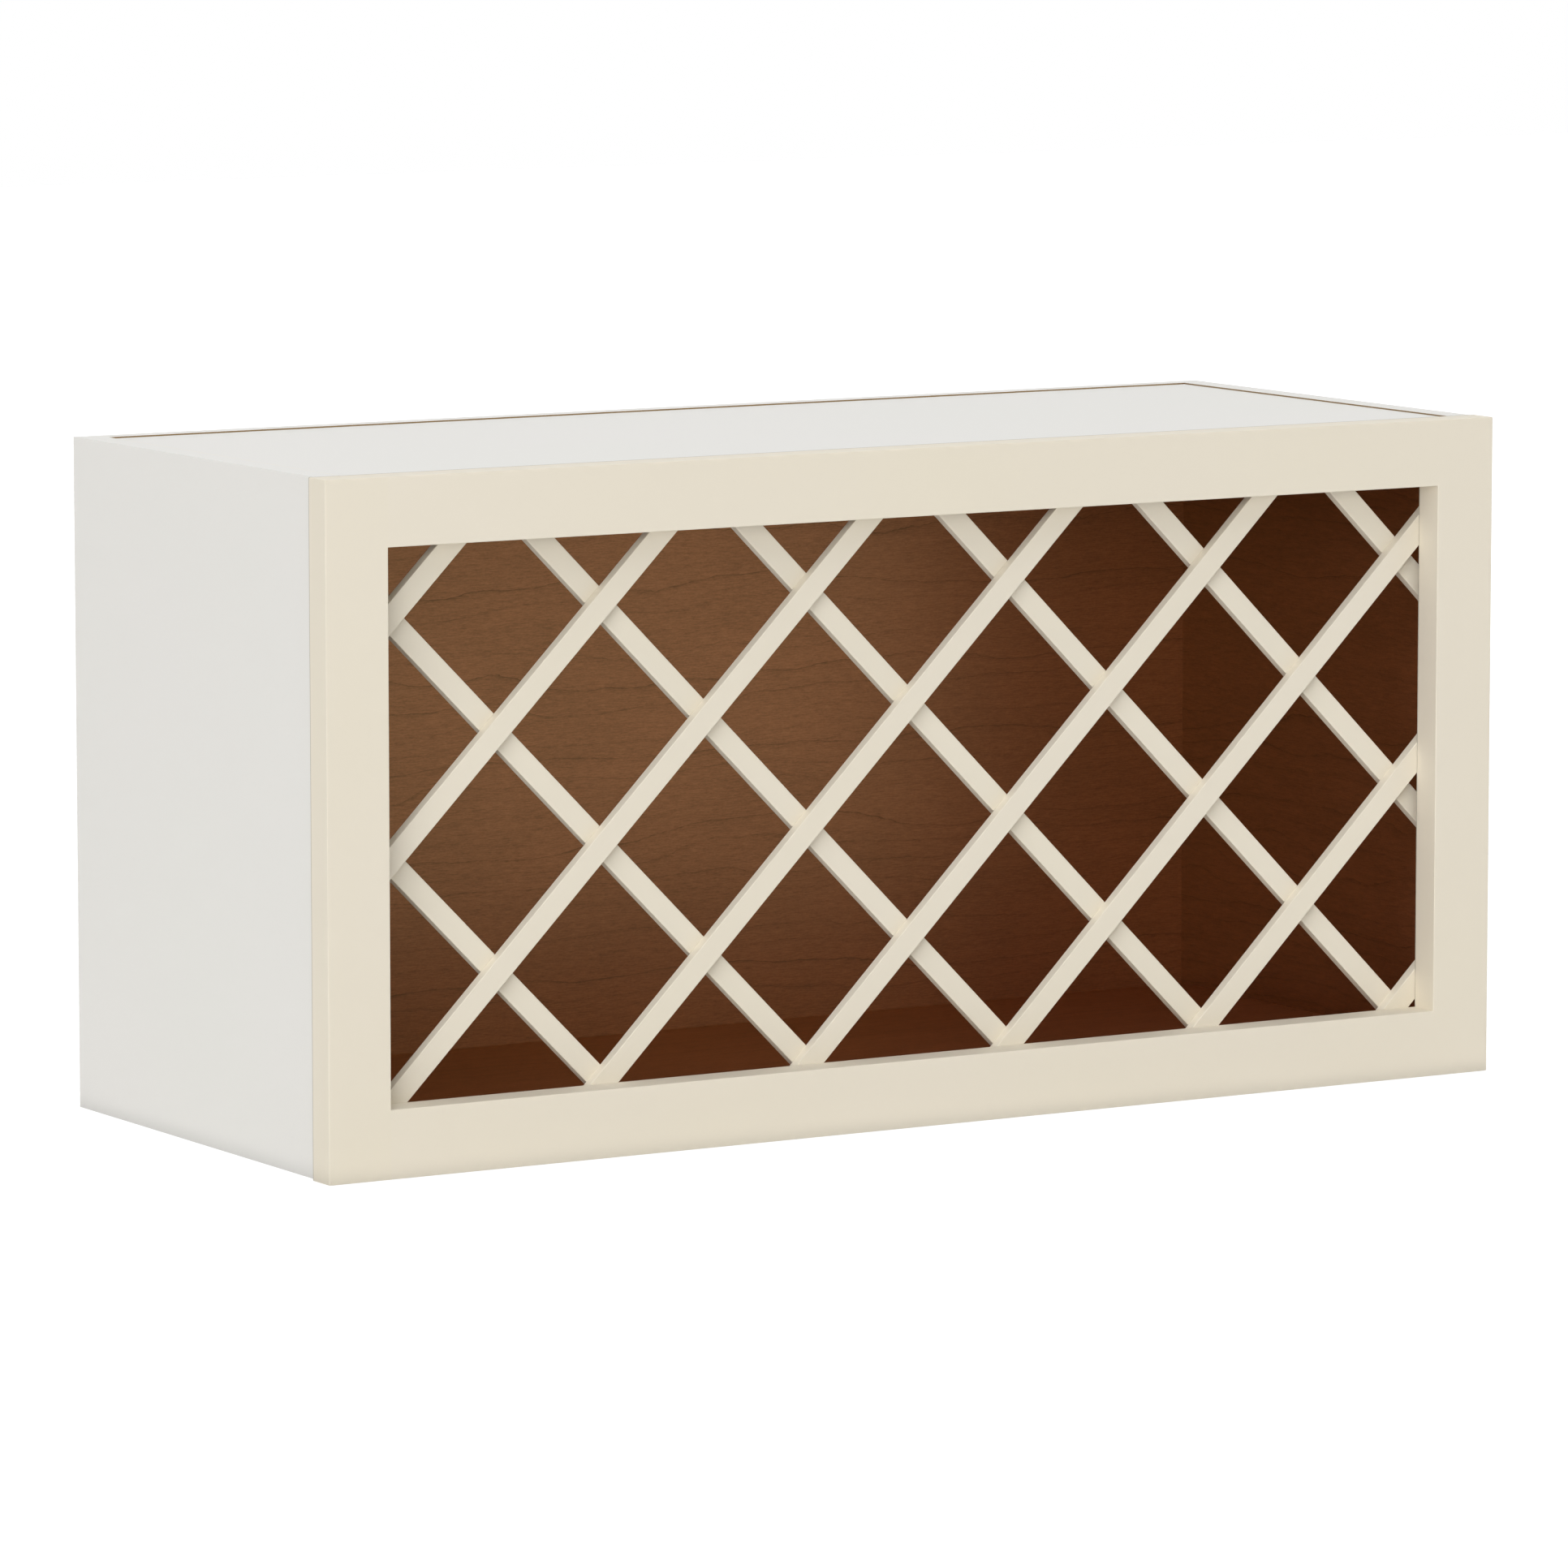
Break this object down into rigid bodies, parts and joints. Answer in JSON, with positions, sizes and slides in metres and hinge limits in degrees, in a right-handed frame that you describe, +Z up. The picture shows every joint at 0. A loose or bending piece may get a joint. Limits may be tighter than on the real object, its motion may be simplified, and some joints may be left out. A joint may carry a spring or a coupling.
{
  "type": "wine rack cabinet",
  "caption": "Face-frame wall cabinet whose front is closed by a diagonal lattice of crossed strips that holds wine bottles on their sides, with a veneered inside and a full back.",
  "frame": {"origin": "middle of the cabinet's bottom face, half way between its front and back", "axes": "+X to the right seen from the front, +Y to the wall behind, +Z up"},
  "size_m": [0.762, 0.3048, 0.381],
  "materials": {
    "frame_paint": "satin cream paint",
    "case_laminate": "matt off-white laminate",
    "inside_veneer": "satin brown stained veneer",
    "beech_dowel": "raw",
    "zinc_steel": "zinc plated"
  },
  "bodies": {
    "root": {"left_stile": "frame_paint", "right_stile": "frame_paint", "bottom_rail": "frame_paint", "top_rail": "frame_paint", "lattice_front_strip_1": "frame_paint", "lattice_front_strip_2": "frame_paint", "lattice_front_strip_3": "frame_paint", "lattice_front_strip_4": "frame_paint", "lattice_front_strip_5": "frame_paint", "lattice_front_strip_6": "frame_paint", "lattice_front_strip_7": "frame_paint", "lattice_front_strip_8": "frame_paint", "lattice_back_strip_1": "frame_paint", "lattice_back_strip_2": "frame_paint", "lattice_back_strip_3": "frame_paint", "lattice_back_strip_4": "frame_paint", "lattice_back_strip_5": "frame_paint", "lattice_back_strip_6": "frame_paint", "lattice_back_strip_7": "frame_paint", "lattice_back_strip_8": "frame_paint", "left_side_panel": "case_laminate", "right_side_panel": "case_laminate", "bottom_panel": "case_laminate", "top_panel": "case_laminate", "back_panel": "case_laminate", "left_side_veneer": "inside_veneer", "right_side_veneer": "inside_veneer", "bottom_veneer": "inside_veneer", "top_veneer": "inside_veneer", "back_veneer": "inside_veneer", "frame_dowels": "beech_dowel", "case_dowels": "beech_dowel", "frame_back_dowels": "beech_dowel", "lattice_brads": "zinc_steel", "back_screws": "zinc_steel"}
  },
  "joints": []
}
